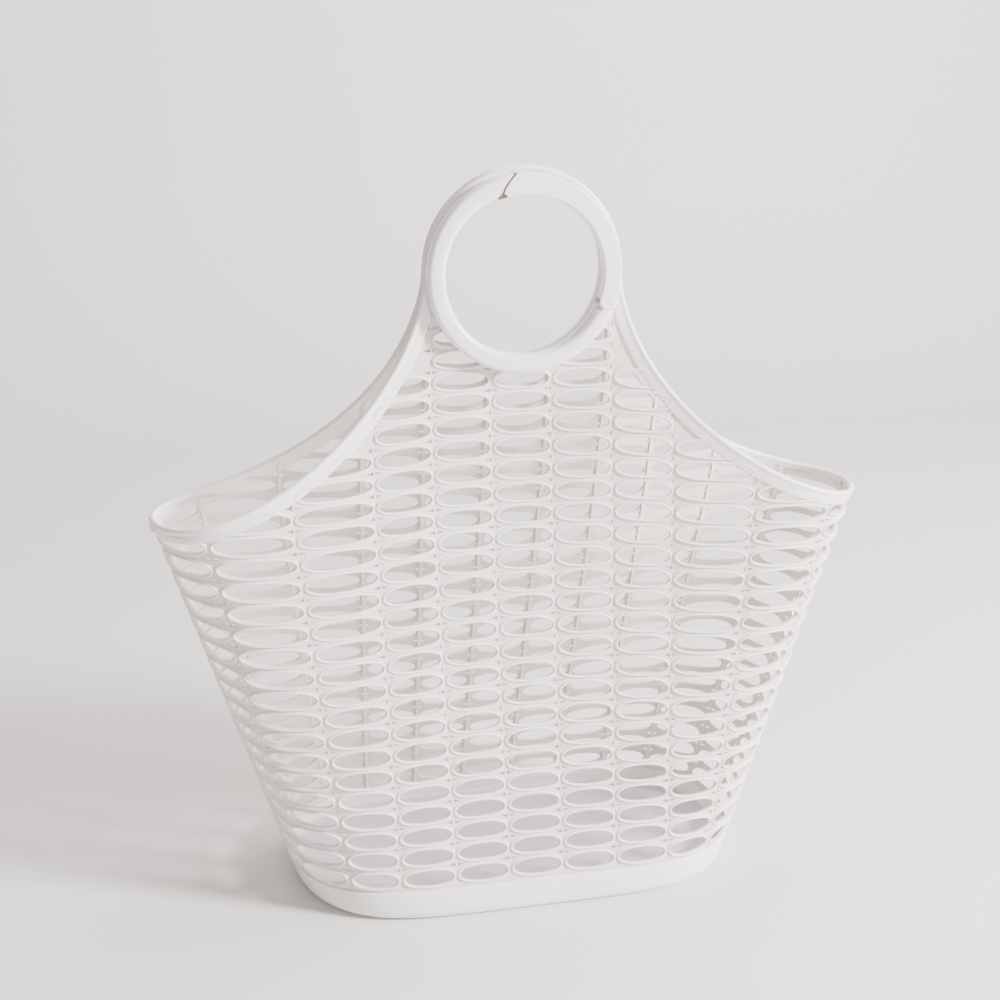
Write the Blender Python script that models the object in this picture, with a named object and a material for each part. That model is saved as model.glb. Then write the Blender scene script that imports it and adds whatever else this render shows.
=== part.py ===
"""Moulded plastic market basket with two ring handles and a clasp on the front ring.

Metres, +Z up. The basket stands on z = 0, its length runs along X and its front faces -Y.
The wall is one curved surface, wall_depth(x, z). Everything on the wall follows that surface.
"""
import math

import bmesh
import bpy
import numpy as np
from mathutils import Vector

# Overall shape
TRAY_HALF_LENGTH = 0.127
TRAY_HALF_WIDTH = 0.0674
TRAY_HEIGHT = 0.017
TRAY_FLOOR = 0.0026
TRAY_WALL = 0.0030
TRAY_EDGE_ROUND = 0.0045
TRAY_SQUARENESS = 4.7
RIM_HALF_LENGTH = 0.2015
RIM_END_HEIGHT = 0.2240
RIM_END_DEPTH = 0.0735
RIM_SQUARENESS = 2.83
WALL_THICKNESS = 0.0024
WALL_CLOSING_POWER = 1.3
END_SWELL_POWER = 1.87

# Lattice columns, counted from the middle of the front: widths at the tray and at the rim ends
COLUMN_WIDTH_LOW = 0.0307
COLUMN_WIDTH_HIGH = 0.0343
FLARE_COLUMN_LOW = 0.0263
FLARE_COLUMN_HIGH = 0.0460
FRONT_COLUMNS = 2.5
FLARE_EDGE = 3.5
TIP_EDGE = 5.5

# Rim band
END_BAND = 0.0104
RUN_BAND = 0.0088
BAND_THICKNESS = 0.0038
RIM_CURVE_POWER = 1.75
RIM_SPLIT_X = 0.1340

# Handle rings
RING_CENTRE_HEIGHT = 0.3520
RING_OUTER = 0.0535
RING_INNER = 0.0435
BACK_RING_INNER = 0.0455
RINGS_BELOW_LOOPS = 0.0018
FRONT_RING_TO_LEFT = 0.0010
LOOP_OUTER = 0.0550
LOOP_INNER = 0.0475
LOOP_THICKNESS = 0.0036
LOOP_SPACING = 0.0012
FRONT_RING_THICKNESS = 0.0085
BACK_RING_THICKNESS = 0.0068
RING_EDGE = 0.0016

# Clasp on the front ring
CLASP_HINGE_ANGLE = math.radians(-18.0)
SEAM_OUTER_ANGLE = math.radians(98.0)
SEAM_INNER_ANGLE = math.radians(110.0)
CLASP_GAP = 0.0004
CLASP_STEP_SLOPE = 0.00012
PIN_RADIUS = 0.0016
PIN_RUNNING_GAP = 0.0001
PIN_END_COVER = 0.0016

# Where the walls flex, the gap between neighbouring solids, the end walls' side clearance, and
# the gap under the curved rim, whose facets take up part of it
FLEX_HEIGHT = RIM_END_HEIGHT + 0.0090
GAP = 0.0003
SEAM_SETBACK = 0.00022
CURVED_GAP = 0.00055

RING_BOTTOM = RING_CENTRE_HEIGHT - LOOP_OUTER
LOOP_MIDDLE_Y = LOOP_SPACING / 2.0 + LOOP_THICKNESS / 2.0
ARC_SAMPLES = 260
ARC_CROWDING = 2.2
RING_SIDES = 60
SLOPE_STEP = 0.0001
RUN_TURN_STEP = 0.004
RUN_TURN_LIMIT = 0.97
RUN_TURN_END = 0.955
CUTTER_REACH = 0.05


def clear_scene():
    for item in list(bpy.data.objects):
        bpy.data.objects.remove(item, do_unlink=True)


def make_material(name, color, roughness):
    material = bpy.data.materials.new(name)
    material.use_nodes = True
    shader = material.node_tree.nodes["Principled BSDF"]
    shader.inputs["Base Color"].default_value = (*color, 1.0)
    shader.inputs["Roughness"].default_value = roughness
    shader.inputs["Metallic"].default_value = 0.0
    return material


def make_object(name, mesh_builder, material, origin=(0.0, 0.0, 0.0), smooth_angle=35.0):
    """Put a bmesh, given in world coordinates, in an object whose origin is at origin."""
    bmesh.ops.recalc_face_normals(mesh_builder, faces=mesh_builder.faces)
    bmesh.ops.translate(mesh_builder, verts=mesh_builder.verts, vec=-Vector(origin))
    mesh = bpy.data.meshes.new(name)
    mesh_builder.to_mesh(mesh)
    mesh_builder.free()
    mesh.shade_smooth()
    mesh.set_sharp_from_angle(angle=math.radians(smooth_angle))
    item = bpy.data.objects.new(name, mesh)
    item.location = origin
    item.data.materials.append(material)
    bpy.context.collection.objects.link(item)
    return item


# The wall surface


def half_length(z):
    return TRAY_HALF_LENGTH + (RIM_HALF_LENGTH - TRAY_HALF_LENGTH) * z / RIM_END_HEIGHT


def squareness(z):
    share = min(max(z / RIM_END_HEIGHT, 0.0), 1.0)
    return TRAY_SQUARENESS + (RIM_SQUARENESS - TRAY_SQUARENESS) * share


def centre_depth(z):
    """Distance of the wall from the middle plane, half way along the basket."""
    rest = max(1.0 - z / RING_BOTTOM, 0.0)
    return LOOP_MIDDLE_Y + (TRAY_HALF_WIDTH - LOOP_MIDDLE_Y) * rest ** WALL_CLOSING_POWER


def end_depth(z):
    share = min(z / RIM_END_HEIGHT, 1.0)
    return TRAY_HALF_WIDTH + (RIM_END_DEPTH - TRAY_HALF_WIDTH) * share


def wall_depth(x, z):
    """Distance of the wall's middle surface from the middle plane, at x and z."""
    share = np.clip(np.abs(x) / half_length(z), 0.0, 1.0)
    rise = min(max((z - RIM_END_HEIGHT) / (RING_CENTRE_HEIGHT - RIM_END_HEIGHT), 0.0), 1.0)
    swell = share ** END_SWELL_POWER * (1.0 - rise ** 3)
    depth = centre_depth(z) + (end_depth(z) - centre_depth(z)) * swell
    return depth * np.sqrt(np.clip(1.0 - share ** squareness(z), 0.0, 1.0))


def quarter_plan(z):
    """x, depth and length along the wall from the middle of the front to the tip, at height z."""
    turn = (np.linspace(0.0, 1.0, ARC_SAMPLES) ** ARC_CROWDING) * math.pi / 2.0
    x = half_length(z) * np.sin(turn) ** (2.0 / squareness(z))
    depth = wall_depth(x, z)
    depth[-1] = 0.0
    steps = np.hypot(np.diff(x), np.diff(depth))
    return x, depth, np.concatenate([[0.0], np.cumsum(steps)])


def plan_point(arc, z):
    x, depth, length = quarter_plan(z)
    return float(np.interp(arc, length, x)), float(np.interp(arc, length, depth))


def column_arc(column, z):
    """Length along the wall at a column edge: 0 is the middle of the front, TIP_EDGE the tip."""
    share = min(z / RIM_END_HEIGHT, 1.0)
    width = COLUMN_WIDTH_LOW + (COLUMN_WIDTH_HIGH - COLUMN_WIDTH_LOW) * share
    flare = FLARE_COLUMN_LOW + (FLARE_COLUMN_HIGH - FLARE_COLUMN_LOW) * share
    front = FRONT_COLUMNS * width
    total = quarter_plan(z)[2][-1]
    return float(np.interp(column, [0.0, FRONT_COLUMNS, FLARE_EDGE, TIP_EDGE],
                           [0.0, front, front + flare, total]))


def wall_point(x_sign, y_sign, arc, z):
    x, depth = plan_point(arc, z)
    return Vector((x_sign * x, y_sign * depth, z))


# The rim line


def rim_height(x):
    """Height of the rim's top edge over x: level at the ends, upright beside the ring."""
    span = RIM_HALF_LENGTH - LOOP_OUTER
    share = min(max((RIM_HALF_LENGTH - abs(x)) / span, 0.0), 1.0)
    rise = 1.0 - (1.0 - share ** RIM_CURVE_POWER) ** (1.0 / RIM_CURVE_POWER)
    return RIM_END_HEIGHT + (RING_CENTRE_HEIGHT - RIM_END_HEIGHT) * rise


def run_edge(turn):
    """Top edge of the sloping run and its inward normal, as turn goes from 0 (end) to 1 (ring)."""
    angle = turn * math.pi / 2.0
    power = 2.0 / RIM_CURVE_POWER
    span = RIM_HALF_LENGTH - LOOP_OUTER
    x = RIM_HALF_LENGTH - span * math.sin(angle) ** power
    z = rim_height(x)
    slope = (rim_height(x - SLOPE_STEP) - rim_height(x + SLOPE_STEP)) / (2.0 * SLOPE_STEP)
    normal = Vector((-slope, -1.0)).normalized()
    return x, z, normal


def turn_at_x(x):
    span = RIM_HALF_LENGTH - LOOP_OUTER
    share = (RIM_HALF_LENGTH - x) / span
    return math.asin(min(share, 1.0) ** (RIM_CURVE_POWER / 2.0)) * 2.0 / math.pi


# Closed solids from grids and outlines


def skin_grid(points, thickness, upright_columns=()):
    """A closed shell around a grid of points, thickness / 2 to each side.

    Its lowest and highest rows end level, and upright_columns end on a plane of constant x.
    """
    rows, columns = len(points), len(points[0])
    builder = bmesh.new()
    front, back = [], []
    for r in range(rows):
        front_row, back_row = [], []
        for c in range(columns):
            along = points[r][min(c + 1, columns - 1)] - points[r][max(c - 1, 0)]
            up = points[min(r + 1, rows - 1)][c] - points[max(r - 1, 0)][c]
            normal = along.cross(up)
            if r in (0, rows - 1):
                normal.z = 0.0
            if c in upright_columns:
                normal.x = 0.0
            normal = normal.normalized() * (thickness / 2.0)
            front_row.append(builder.verts.new(points[r][c] + normal))
            back_row.append(builder.verts.new(points[r][c] - normal))
        front.append(front_row)
        back.append(back_row)
    for r in range(rows - 1):
        for c in range(columns - 1):
            builder.faces.new((front[r][c], front[r][c + 1], front[r + 1][c + 1], front[r + 1][c]))
            builder.faces.new((back[r][c], back[r + 1][c], back[r + 1][c + 1], back[r][c + 1]))
    edge = [(0, c) for c in range(columns)]
    edge += [(r, columns - 1) for r in range(1, rows)]
    edge += [(rows - 1, c) for c in range(columns - 2, -1, -1)]
    edge += [(r, 0) for r in range(rows - 2, 0, -1)]
    for (r0, c0), (r1, c1) in zip(edge, edge[1:] + edge[:1]):
        builder.faces.new((front[r0][c0], back[r0][c0], back[r1][c1], front[r1][c1]))
    return builder


def loft(outlines):
    """A closed solid through outlines of equal point counts, capped at the first and last."""
    builder = bmesh.new()
    loops = [[builder.verts.new(point) for point in outline] for outline in outlines]
    count = len(loops[0])
    for low, high in zip(loops, loops[1:]):
        for i in range(count):
            j = (i + 1) % count
            builder.faces.new((low[i], low[j], high[j], high[i]))
    builder.faces.new(loops[0][::-1])
    builder.faces.new(loops[-1])
    return builder


def combine(item, other, operation):
    """Apply an exact Boolean with other, and remove other."""
    modifier = item.modifiers.new("combine", "BOOLEAN")
    modifier.operation = operation
    modifier.solver = "EXACT"
    modifier.object = other
    bpy.context.view_layer.update()
    graph = bpy.context.evaluated_depsgraph_get()
    mesh = bpy.data.meshes.new_from_object(item.evaluated_get(graph))
    item.modifiers.clear()
    item.data = mesh
    bpy.data.objects.remove(other, do_unlink=True)


# The tray


def plan_outline(z, inset, count=16):
    """The basket's plan at height z, drawn in by inset; count points to each quarter."""
    x, depth, length = quarter_plan(z)
    quarter = []
    for i in range(count):
        arc = length[-1] * (i + 0.5) / count
        step = length[-1] * 0.25 / count
        along = Vector((float(np.interp(arc + step, length, x) - np.interp(arc - step, length, x)),
                        float(np.interp(arc + step, length, depth)
                              - np.interp(arc - step, length, depth)))).normalized()
        quarter.append((float(np.interp(arc, length, x)) + along.y * inset,
                        float(np.interp(arc, length, depth)) - along.x * inset))
    round_trip = []
    for x_sign, y_sign in ((1.0, -1.0), (1.0, 1.0), (-1.0, 1.0), (-1.0, -1.0)):
        stretch = quarter if x_sign * y_sign < 0.0 else quarter[::-1]
        round_trip += [Vector((x_sign * px, y_sign * py, z)) for px, py in stretch]
    return round_trip


def build_tray(material):
    """The tray: rounded bottom edge, outside flush with the wall, open at the top."""
    outer = WALL_THICKNESS / 2.0
    inner = TRAY_WALL - outer
    outlines = []
    for angle in (90.0, 60.0, 30.0, 0.0):
        turn = math.radians(angle)
        inset = TRAY_EDGE_ROUND * (1.0 - math.cos(turn)) - outer
        outlines.append(plan_outline(TRAY_EDGE_ROUND * (1.0 - math.sin(turn)), inset))
    outlines += [plan_outline(TRAY_HEIGHT, -outer),
                 plan_outline(TRAY_HEIGHT, inner),
                 plan_outline(TRAY_FLOOR + TRAY_WALL, inner),
                 plan_outline(TRAY_FLOOR, inner + TRAY_WALL)]
    return make_object("base_tray", loft(outlines), material)


# The lattice walls, as plain shells with the lattice's outline


def rim_underside(x_at, low, band):
    """Height where the rim's underside meets a line up the wall; x_at(z) is the line's x."""
    z = RIM_END_HEIGHT - band
    for _ in range(12):
        z = rim_height(x_at(z)) - band
    return max(z, low)


def lower_panel(name, y_sign, material):
    """The front or back wall from the tray to the flex line."""
    low, high = TRAY_HEIGHT + GAP, FLEX_HEIGHT - GAP / 2.0
    rows, columns = 8, 16
    points = []
    for r in range(rows + 1):
        z = low + (high - low) * r / rows
        limit = column_arc(FLARE_EDGE, z) - SEAM_SETBACK
        row = []
        for c in range(columns + 1):
            arc = limit * (2.0 * c / columns - 1.0)
            row.append(wall_point(math.copysign(1.0, arc), y_sign, abs(arc), z))
        points.append(row)
    return make_object(name, skin_grid(points, WALL_THICKNESS), material)


def end_panel(name, x_sign, material):
    """The wall round one end, from the front's flare column to the back's."""
    low = TRAY_HEIGHT + GAP
    rows, columns = 8, 18
    grid = []
    for c in range(columns + 1):
        around = 2.0 * c / columns - 1.0
        y_sign = math.copysign(1.0, around)

        def arc_at(z, share=abs(around)):
            column = TIP_EDGE - (TIP_EDGE - FLARE_EDGE) * share
            return column_arc(column, z) + (SEAM_SETBACK if share == 1.0 else 0.0)

        def x_at(z):
            return plan_point(arc_at(z), z)[0]

        high = rim_underside(x_at, low, END_BAND) - CURVED_GAP
        line = []
        for r in range(rows + 1):
            z = low + (high - low) * r / rows
            line.append(wall_point(x_sign, y_sign, arc_at(z), z))
        grid.append(line)
    points = [[grid[c][r] for c in range(columns + 1)] for r in range(rows + 1)]
    return make_object(name, skin_grid(points, WALL_THICKNESS), material)


def ring_edge_point(angle, radius):
    return radius * math.cos(angle), RING_CENTRE_HEIGHT + radius * math.sin(angle)


def handle_panel(name, y_sign, material, origin):
    """The wall between the flex line, the two sloping runs and the underside of the loop."""
    low = FLEX_HEIGHT + GAP / 2.0
    offset = RUN_BAND + CURVED_GAP
    turn = turn_at_x(RIM_SPLIT_X)
    side = []
    while turn < RUN_TURN_LIMIT:
        x, z, normal = run_edge(turn)
        inner_x, inner_z = x + normal.x * offset, z + normal.y * offset
        if math.hypot(inner_x, inner_z - RING_CENTRE_HEIGHT) < LOOP_OUTER + GAP:
            break
        if inner_z >= low and inner_x < RIM_SPLIT_X - GAP:
            side.append((inner_x, inner_z))
        turn += RUN_TURN_STEP
    side.insert(0, (side[0][0], low))
    heights = np.array([point[1] for point in side])
    lengths = np.concatenate([[0.0], np.cumsum(np.hypot(np.diff([p[0] for p in side]),
                                                        np.diff(heights)))])
    top_angle = math.atan2(side[-1][1] - RING_CENTRE_HEIGHT, side[-1][0])
    rows, columns = 8, 16
    points = []
    for r in range(rows + 1):
        level = r / rows
        at = level * lengths[-1]
        side_x = float(np.interp(at, lengths, [p[0] for p in side]))
        side_z = float(np.interp(at, lengths, heights))
        row = []
        for c in range(columns + 1):
            across = 2.0 * c / columns - 1.0
            angle = -math.pi / 2.0 + (top_angle + math.pi / 2.0) * across
            arc_x, arc_z = ring_edge_point(angle, LOOP_OUTER + GAP)
            end_x, end_z = ring_edge_point(top_angle, LOOP_OUTER + GAP)
            x = side_x * across + level * (arc_x - end_x * across)
            z = side_z + level * (arc_z - end_z)
            row.append(Vector((x, y_sign * float(wall_depth(x, z)), z)))
        points.append(row)
    return make_object(name, skin_grid(points, WALL_THICKNESS), material, origin)


# The rim band


def end_rim(name, x_sign, material):
    """The deep band round one end of the rim."""
    columns, levels = 22, 2
    grid = []
    for c in range(columns + 1):
        around = 2.0 * c / columns - 1.0
        y_sign = math.copysign(1.0, around)

        def arc_at(z, share=1.0 - abs(around)):
            x, _, length = quarter_plan(z)
            start = float(np.interp(RIM_SPLIT_X + GAP / 2.0, x, length))
            return start + (length[-1] - start) * share

        def x_at(z):
            return plan_point(arc_at(z), z)[0]

        top, bottom = rim_underside(x_at, 0.0, 0.0), rim_underside(x_at, 0.0, END_BAND)
        line = []
        for r in range(levels + 1):
            z = bottom + (top - bottom) * r / levels
            line.append(wall_point(x_sign, y_sign, arc_at(z), z))
        grid.append(line)
    points = [[grid[c][r] for c in range(columns + 1)] for r in range(levels + 1)]
    return make_object(name, skin_grid(points, BAND_THICKNESS, (0, columns)), material)


def run_rim(name, x_sign, y_sign, material, origin):
    """The sloping band from the end of the rim up to the side of the loop."""
    first, last = turn_at_x(RIM_SPLIT_X - GAP / 2.0), RUN_TURN_END
    steps, levels = 18, 1
    points = []
    for r in range(levels + 1):
        row = []
        for i in range(steps + 1):
            x, z, normal = run_edge(first + (last - first) * i / steps)
            offset = RUN_BAND * r / levels
            px, pz = x + normal.x * offset, z + normal.y * offset
            if i == 0:
                px, pz = x, z + offset / normal.y
            row.append(Vector((x_sign * px, y_sign * float(wall_depth(px, pz)), pz)))
        points.append(row)
    band = make_object(name, skin_grid(points, BAND_THICKNESS, (0,)), material, origin)
    disc = ring_solid(0.0, LOOP_OUTER + GAP, -CUTTER_REACH, CUTTER_REACH, 0.0)
    cutter = make_object(name + "_cut", disc, material, origin)
    combine(band, cutter, "DIFFERENCE")
    return band


# The loops and rings


def circle_outline(radius, y, count=RING_SIDES):
    points = []
    for i in range(count):
        x, z = ring_edge_point(2.0 * math.pi * i / count, radius)
        points.append(Vector((x, y, z)))
    return points


def ring_solid(inner, outer, y_low, y_high, edge, count=RING_SIDES):
    """A ring round the Y direction with chamfered edges, or a disc where inner is zero."""
    if inner == 0.0:
        return loft([circle_outline(outer, y_low, count), circle_outline(outer, y_high, count)])
    section = [(inner + edge, y_low), (outer - edge, y_low), (outer, y_low + edge),
               (outer, y_high - edge), (outer - edge, y_high), (inner + edge, y_high),
               (inner, y_high - edge), (inner, y_low + edge)]
    builder = bmesh.new()
    loops = [[builder.verts.new(p) for p in circle_outline(radius, y, count)]
             for radius, y in section]
    for k in range(len(loops)):
        here, after = loops[k], loops[(k + 1) % len(loops)]
        for i in range(count):
            j = (i + 1) % count
            builder.faces.new((here[i], here[j], after[j], after[i]))
    return builder


def build_loop(name, y_sign, material, origin):
    near = LOOP_SPACING / 2.0
    y_low, y_high = sorted((y_sign * near, y_sign * (near + LOOP_THICKNESS)))
    solid = ring_solid(LOOP_INNER, LOOP_OUTER, y_low, y_high, LOOP_THICKNESS / 4.0)
    return make_object(name, solid, material, origin)


def ring_face(thickness):
    """Near and far distance from the middle plane of a ring that sits on its loop."""
    near = LOOP_SPACING / 2.0 + LOOP_THICKNESS + GAP
    return near, near + thickness


def build_back_ring(material, origin):
    near, far = ring_face(BACK_RING_THICKNESS)
    solid = ring_solid(BACK_RING_INNER, RING_OUTER, near, far, RING_EDGE)
    bmesh.ops.translate(solid, verts=solid.verts, vec=(0.0, 0.0, -RINGS_BELOW_LOOPS))
    return make_object("back_grip_ring", solid, material, origin)


def clasp_hinge():
    middle = (RING_INNER + RING_OUTER) / 2.0
    return middle * math.cos(CLASP_HINGE_ANGLE), middle * math.sin(CLASP_HINGE_ANGLE)


def arc_points(radius, first, last, count):
    return [(radius * math.cos(first + (last - first) * i / count),
             radius * math.sin(first + (last - first) * i / count)) for i in range(count + 1)]


def seam_points(inner, outer, shift, count=8):
    """The slanted seam from the outside of the ring to the inside."""
    points = []
    for i in range(count + 1):
        share = i / count
        radius = outer + (inner - outer) * share
        angle = SEAM_OUTER_ANGLE + (SEAM_INNER_ANGLE - SEAM_OUTER_ANGLE) * share
        angle += shift / radius
        points.append((radius * math.cos(angle), radius * math.sin(angle)))
    return points


def sweep_round(first, last, through, centre, radius, count=10):
    """Points on a circle from the angle first to last, passing the angle through."""
    turn = 2.0 * math.pi
    forward = (last - first) % turn
    passes = (through - first) % turn
    total = forward if passes <= forward else forward - turn
    return [(centre[0] + radius * math.cos(first + total * i / count),
             centre[1] + radius * math.sin(first + total * i / count)) for i in range(count + 1)]


def hinge_round(inner, outer, away):
    """Round end of an arc whose body lies on the far side of away, from inside to outside."""
    through = CLASP_HINGE_ANGLE + away * math.pi / 2.0
    return sweep_round(CLASP_HINGE_ANGLE + math.pi, CLASP_HINGE_ANGLE, through, clasp_hinge(),
                       (outer - inner) / 2.0)


def hinge_hollow(inner, outer, toward):
    """Hollow end of an arc, clear of the other arc's round end, from inside to outside."""
    reach = (RING_OUTER - RING_INNER) / 2.0 + CLASP_GAP
    px, pz = clasp_hinge()
    middle = math.hypot(px, pz)
    ends = []
    for edge in (inner, outer):
        cosine = (edge ** 2 + middle ** 2 - reach ** 2) / (2.0 * edge * middle)
        angle = CLASP_HINGE_ANGLE + toward * math.acos(cosine)
        ends.append(math.atan2(edge * math.sin(angle) - pz, edge * math.cos(angle) - px))
    through = CLASP_HINGE_ANGLE + toward * math.pi / 2.0
    return sweep_round(ends[0], ends[1], through, (px, pz), reach)


def direction(point):
    return math.atan2(point[1], point[0])


def clasp_outline(inner, outer, round_end):
    """Outline of the clasp arc at one depth, from its hinge end round to the seam and back."""
    end = hinge_round(inner, outer, -1.0) if round_end else hinge_hollow(inner, outer, 1.0)
    seam = seam_points(inner, outer, -CLASP_GAP)
    outside = arc_points(outer, direction(end[-1]), direction(seam[0]), 20)
    inside = arc_points(inner, direction(seam[-1]), direction(end[0]), 20)
    return end[:-1] + outside[:-1] + seam[:-1] + inside[:-1]


def fixed_outline(inner, outer, round_end):
    """Outline of the fixed arc at one depth, from its hinge end round to the seam and back."""
    end = hinge_round(inner, outer, 1.0) if round_end else hinge_hollow(inner, outer, -1.0)
    end = end[::-1]
    seam = seam_points(inner, outer, 0.0)
    full_turn = 2.0 * math.pi
    inside = arc_points(inner, direction(end[-1]) + full_turn, direction(seam[-1]), 36)
    outside = arc_points(outer, direction(seam[0]), direction(end[0]) + full_turn, 36)
    return end[:-1] + inside[:-1] + seam[::-1][:-1] + outside[:-1]


def lift(outline, y):
    height = RING_CENTRE_HEIGHT - RINGS_BELOW_LOOPS
    return [Vector((x - FRONT_RING_TO_LEFT, y, height + z)) for x, z in outline]


def ring_part(name, outline, front_is_round, material, origin):
    """A part of the front ring whose front and rear layers end differently at the hinge."""
    near, far = ring_face(FRONT_RING_THICKNESS)
    middle = (near + far) / 2.0
    full = (RING_INNER, RING_OUTER)
    drawn_in = (RING_INNER + RING_EDGE, RING_OUTER - RING_EDGE)
    side = -1.0 if front_is_round else 1.0
    step = -middle + side * CLASP_GAP / 2.0
    hollow_step = step - side * CLASP_STEP_SLOPE
    front_step, rear_step = (step, hollow_step) if front_is_round else (hollow_step, step)
    solid = loft([lift(outline(*drawn_in, front_is_round), -far),
                  lift(outline(*full, front_is_round), -far + RING_EDGE),
                  lift(outline(*full, front_is_round), front_step),
                  lift(outline(*full, not front_is_round), rear_step),
                  lift(outline(*full, not front_is_round), -near - RING_EDGE),
                  lift(outline(*drawn_in, not front_is_round), -near)])
    item = make_object(name, solid, material, origin)
    hole = pin_solid(PIN_RADIUS + PIN_RUNNING_GAP, -far + PIN_END_COVER - GAP, -near + GAP)
    combine(item, make_object(name + "_cut", hole, material, origin), "DIFFERENCE")
    return item


def pin_solid(radius, y_low, y_high, count=24):
    px, pz = clasp_hinge()
    outline = [(px + radius * math.cos(2.0 * math.pi * i / count),
                pz + radius * math.sin(2.0 * math.pi * i / count)) for i in range(count)]
    return loft([lift(outline, y_low), lift(outline, y_high)])


def build_pin(material, origin):
    near, far = ring_face(FRONT_RING_THICKNESS)
    return make_object("clasp_pin", pin_solid(PIN_RADIUS, -far + PIN_END_COVER, -near),
                       material, origin)


# Assembly


def flex_axis_depth():
    """How far out the flex line lies: just outside the wall and the band at the flex height."""
    span = np.linspace(0.0, RIM_SPLIT_X, 60)
    deepest = max(float(wall_depth(x, FLEX_HEIGHT - RUN_BAND)) for x in span)
    return deepest + BAND_THICKNESS


def hinge_empty(name, place):
    empty = bpy.data.objects.new(name, None)
    empty.location = place
    bpy.context.collection.objects.link(empty)
    return empty


def attach(parent, items):
    bpy.context.view_layer.update()
    for item in items:
        item.parent = parent
        item.matrix_parent_inverse = parent.matrix_world.inverted()


def main():
    clear_scene()
    lattice = make_material("lattice_white", (0.86, 0.84, 0.80), 0.45)
    rim = make_material("rim_white", (0.88, 0.87, 0.84), 0.35)
    grip = make_material("grip_white", (0.86, 0.85, 0.88), 0.25)
    tray = make_material("tray_white", (0.80, 0.79, 0.85), 0.40)

    build_tray(tray)
    for side, y_sign in (("front", -1.0), ("back", 1.0)):
        lower_panel(side + "_lattice", y_sign, lattice)
    for side, x_sign in (("left", -1.0), ("right", 1.0)):
        end_panel(side + "_end_lattice", x_sign, lattice)
        end_rim(side + "_end_rim", x_sign, rim)

    for side, y_sign in (("front", -1.0), ("back", 1.0)):
        place = Vector((0.0, y_sign * flex_axis_depth(), FLEX_HEIGHT))
        empty = hinge_empty(side + "_flex", place)
        moving = [handle_panel(side + "_handle_lattice", y_sign, lattice, place),
                  build_loop(side + "_loop", y_sign, rim, place)]
        for end, x_sign in (("left", -1.0), ("right", 1.0)):
            moving.append(run_rim(side + "_rim_" + end, x_sign, y_sign, rim, place))
        if side == "front":
            moving.append(ring_part("front_grip_ring", fixed_outline, False, grip, place))
        else:
            moving.append(build_back_ring(grip, place))
        attach(empty, moving)

    near, far = ring_face(FRONT_RING_THICKNESS)
    pivot = lift([clasp_hinge()], -(near + far) / 2.0)[0]
    pin = build_pin(grip, pivot)
    clasp = ring_part("clasp_arc", clasp_outline, True, grip, pivot)
    attach(bpy.data.objects["front_flex"], [pin, clasp])


main()
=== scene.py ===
"""Looks of a moulded plastic lattice basket with two ring handles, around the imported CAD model.

Lengths are in metres, with z up and the front towards -y. A place on the wall is given by its
column (0 in the middle of the front, positive to the right, 5.5 at the right tip, 11 in the
middle of the back) and its height.
"""

import math

import bmesh
import bpy
import numpy as np
from mathutils import Matrix, Vector


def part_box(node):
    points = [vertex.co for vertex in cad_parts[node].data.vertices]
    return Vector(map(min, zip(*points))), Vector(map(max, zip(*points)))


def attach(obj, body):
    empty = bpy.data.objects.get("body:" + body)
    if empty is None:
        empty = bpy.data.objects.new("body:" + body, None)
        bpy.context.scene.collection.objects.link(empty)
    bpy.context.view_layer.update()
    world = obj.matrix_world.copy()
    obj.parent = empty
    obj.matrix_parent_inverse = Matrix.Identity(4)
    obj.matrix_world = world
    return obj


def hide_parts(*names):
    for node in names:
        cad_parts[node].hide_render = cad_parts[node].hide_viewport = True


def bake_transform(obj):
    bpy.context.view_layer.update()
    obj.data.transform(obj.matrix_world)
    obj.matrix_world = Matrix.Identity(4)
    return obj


MM = 0.001

# The wall's middle surface, by the same rule as the CAD walls
TRAY_HALF_LENGTH = 0.1270
TRAY_HALF_WIDTH = 0.0674
TRAY_SQUARENESS = 4.7
RIM_HALF_LENGTH = 0.2015
RIM_END_HEIGHT = 0.2240
RIM_END_DEPTH = 0.0735
RIM_SQUARENESS = 2.83
RIM_CURVE_POWER = 1.75
WALL_CLOSING_POWER = 1.3
END_SWELL_POWER = 1.87

# Lattice columns: widths at the tray and at the rim ends
COLUMN_WIDTH_LOW = 0.0307
COLUMN_WIDTH_HIGH = 0.0343
FLARE_COLUMN_LOW = 0.0263
FLARE_COLUMN_HIGH = 0.0460
FRONT_EDGE = 2.5
FLARE_EDGE = 3.5
TIP_EDGE = 5.5
BACK_MIDDLE = 11.0

# Lattice rows
FIRST_ROW_HEIGHT = 0.0238
LOW_ROW_PITCH = 0.01167
MIDDLE_ROW_PITCH = 0.0124
HIGH_ROW_PITCH = 0.01196
LOW_ROWS = 6
MIDDLE_ROWS = 10
FRONT_ROWS = 27
END_ROWS = 18
BOW_UP = 2.6 * MM
BOW_UP_HEIGHTS = (0.225, 0.285)
BOW_DOWN = 2.0 * MM
BOW_DOWN_HEIGHTS = (0.08, 0.17)

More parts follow.
